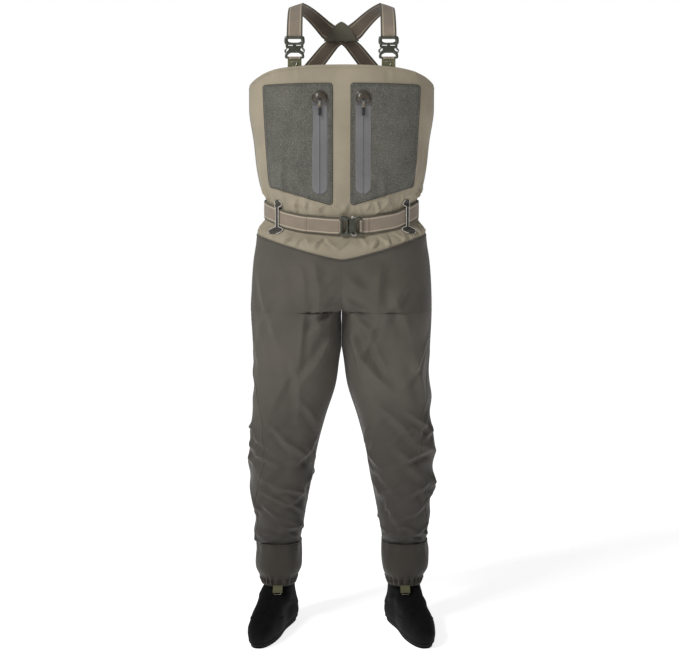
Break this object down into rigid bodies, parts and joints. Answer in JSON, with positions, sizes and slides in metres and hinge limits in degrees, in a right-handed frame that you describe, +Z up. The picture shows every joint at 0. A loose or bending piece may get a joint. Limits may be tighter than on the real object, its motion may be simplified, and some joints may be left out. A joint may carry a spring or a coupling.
{
  "type": "chest waders",
  "caption": "Stocking-foot chest waders with a tan bib, two zipped chest pockets, crossed elastic braces, a wading belt and black neoprene socks.",
  "frame": {"origin": "on the floor under the middle of the waders' bounding box", "axes": "+Z up, the wearer faces -Y, the wearer's left side is at +X"},
  "size_m": [0.4678, 0.3616, 1.555],
  "materials": {
    "tan_laminate": "matt woven face",
    "taupe_laminate": "matt woven face",
    "hem_elastic": "gathered knit elastic",
    "neoprene": "matt fabric-faced neoprene",
    "heather_softshell": "heathered knit",
    "zip_film": "semi-clear film",
    "garage_plastic": "smoked clear plastic",
    "zip_metal": "dull nickel",
    "pull_rubber": "matt",
    "brace_webbing": "woven elastic with pale edge lines",
    "olive_webbing": "woven tape",
    "buckle_plastic": "metallic moulded",
    "loop_cloth": "woven face, pale piping",
    "yoke_cloth": "matt woven face"
  },
  "bodies": {
    "garment": {"back_belt_loop": "loop_cloth", "back_yoke": "yoke_cloth", "belt_buckle_socket": "buckle_plastic", "belt_tongue": "brace_webbing", "belt_webbing": "brace_webbing", "bib_back": "taupe_laminate", "bib_front": "tan_laminate", "left_belt_loop": "loop_cloth", "left_bib_tab": "olive_webbing", "left_buckle_socket": "buckle_plastic", "left_gravel_guard": "taupe_laminate", "left_guard_elastic": "hem_elastic", "left_leg_back": "taupe_laminate", "left_leg_front": "taupe_laminate", "left_pocket_panel": "heather_softshell", "left_sock": "neoprene", "left_sole": "neoprene", "left_strap_anchor": "brace_webbing", "left_strap_back": "brace_webbing", "left_strap_front": "brace_webbing", "left_zip_garage": "garage_plastic", "left_zip_tape": "zip_film", "right_belt_loop": "loop_cloth", "right_bib_tab": "olive_webbing", "right_buckle_socket": "buckle_plastic", "right_gravel_guard": "taupe_laminate", "right_guard_elastic": "hem_elastic", "right_leg_back": "taupe_laminate", "right_leg_front": "taupe_laminate", "right_pocket_panel": "heather_softshell", "right_sock": "neoprene", "right_sole": "neoprene", "right_strap_anchor": "brace_webbing", "right_strap_back": "brace_webbing", "right_strap_front": "brace_webbing", "right_zip_garage": "garage_plastic", "right_zip_tape": "zip_film"},
    "right_zip_slider": {"right_zip_slider": "zip_metal"},
    "right_zip_pull": {"right_zip_link": "zip_metal", "right_zip_pull": "pull_rubber"},
    "right_plug": {"right_buckle_plug": "buckle_plastic"},
    "right_arm_right": {"right_buckle_arm_right": "buckle_plastic"},
    "right_arm_left": {"right_buckle_arm_left": "buckle_plastic"},
    "right_d_ring": {"right_d_ring": "zip_metal"},
    "right_lace_keeper": {"right_lace_tab": "olive_webbing", "right_lace_hook": "zip_metal"},
    "left_zip_slider": {"left_zip_slider": "zip_metal"},
    "left_zip_pull": {"left_zip_link": "zip_metal", "left_zip_pull": "pull_rubber"},
    "left_plug": {"left_buckle_plug": "buckle_plastic"},
    "left_arm_right": {"left_buckle_arm_right": "buckle_plastic"},
    "left_arm_left": {"left_buckle_arm_left": "buckle_plastic"},
    "left_d_ring": {"left_d_ring": "zip_metal"},
    "left_lace_keeper": {"left_lace_tab": "olive_webbing", "left_lace_hook": "zip_metal"},
    "belt_plug": {"belt_buckle_plug": "buckle_plastic"},
    "belt_arm_right": {"belt_buckle_arm_right": "buckle_plastic"},
    "belt_arm_left": {"belt_buckle_arm_left": "buckle_plastic"}
  },
  "joints": [
    {"name": "right_zip_slide", "type": "slide", "parent": "garment", "child": "right_zip_slider", "axis": [0, -0.0575, 0.9983], "range_m": [-0.205, 0]},
    {"name": "right_zip_pull_swing", "type": "hinge", "parent": "right_zip_slider", "child": "right_zip_pull", "pos_m": [-0.052, -0.08695, 1.30164], "axis": [-1, 0, 0], "range_deg": [0, 80]},
    {"name": "right_brace_release", "type": "slide", "parent": "garment", "child": "right_plug", "axis": [0, 0, 1], "range_m": [0, 0.03], "deforming": ["right_strap_front"]},
    {"name": "right_brace_squeeze_right", "type": "hinge", "parent": "right_plug", "child": "right_arm_right", "pos_m": [-0.13017, -0.0612, 1.44251], "axis": [0, -1, 0], "range_deg": [0, 8], "stiffness_Nm_per_rad": 0.05},
    {"name": "right_brace_squeeze_left", "type": "hinge", "parent": "right_plug", "child": "right_arm_left", "pos_m": [-0.09383, -0.0612, 1.44251], "axis": [0, 1, 0], "range_deg": [0, 8], "stiffness_Nm_per_rad": 0.05},
    {"name": "right_d_ring_swing", "type": "hinge", "parent": "garment", "child": "right_d_ring", "pos_m": [-0.112, -0.0635, 1.404], "axis": [-1, 0, 0], "range_deg": [0, 100]},
    {"name": "right_lace_keeper_swing", "type": "hinge", "parent": "garment", "child": "right_lace_keeper", "pos_m": [-0.16, -0.01102, 0.11], "axis": [-1, 0, 0], "range_deg": [0, 60]},
    {"name": "left_zip_slide", "type": "slide", "parent": "garment", "child": "left_zip_slider", "axis": [0, -0.0575, 0.9983], "range_m": [-0.205, 0]},
    {"name": "left_zip_pull_swing", "type": "hinge", "parent": "left_zip_slider", "child": "left_zip_pull", "pos_m": [0.052, -0.08695, 1.30164], "axis": [-1, 0, 0], "range_deg": [0, 80]},
    {"name": "left_brace_release", "type": "slide", "parent": "garment", "child": "left_plug", "axis": [0, 0, 1], "range_m": [0, 0.03], "deforming": ["left_strap_front"]},
    {"name": "left_brace_squeeze_right", "type": "hinge", "parent": "left_plug", "child": "left_arm_right", "pos_m": [0.09383, -0.0612, 1.44251], "axis": [0, -1, 0], "range_deg": [0, 8], "stiffness_Nm_per_rad": 0.05},
    {"name": "left_brace_squeeze_left", "type": "hinge", "parent": "left_plug", "child": "left_arm_left", "pos_m": [0.13017, -0.0612, 1.44251], "axis": [0, 1, 0], "range_deg": [0, 8], "stiffness_Nm_per_rad": 0.05},
    {"name": "left_d_ring_swing", "type": "hinge", "parent": "garment", "child": "left_d_ring", "pos_m": [0.112, -0.0635, 1.404], "axis": [-1, 0, 0], "range_deg": [0, 100]},
    {"name": "left_lace_keeper_swing", "type": "hinge", "parent": "garment", "child": "left_lace_keeper", "pos_m": [0.16, -0.01102, 0.11], "axis": [-1, 0, 0], "range_deg": [0, 60]},
    {"name": "belt_release", "type": "slide", "parent": "garment", "child": "belt_plug", "axis": [-1, 0, 0], "range_m": [0, 0.03], "deforming": ["belt_tongue"]},
    {"name": "belt_squeeze_right", "type": "hinge", "parent": "belt_plug", "child": "belt_arm_right", "pos_m": [0.01694, -0.06489, 0.99483], "axis": [0, -1, 0], "range_deg": [0, 8], "stiffness_Nm_per_rad": 0.05},
    {"name": "belt_squeeze_left", "type": "hinge", "parent": "belt_plug", "child": "belt_arm_left", "pos_m": [0.01694, -0.06489, 1.03117], "axis": [0, 1, 0], "range_deg": [0, 8], "stiffness_Nm_per_rad": 0.05}
  ]
}
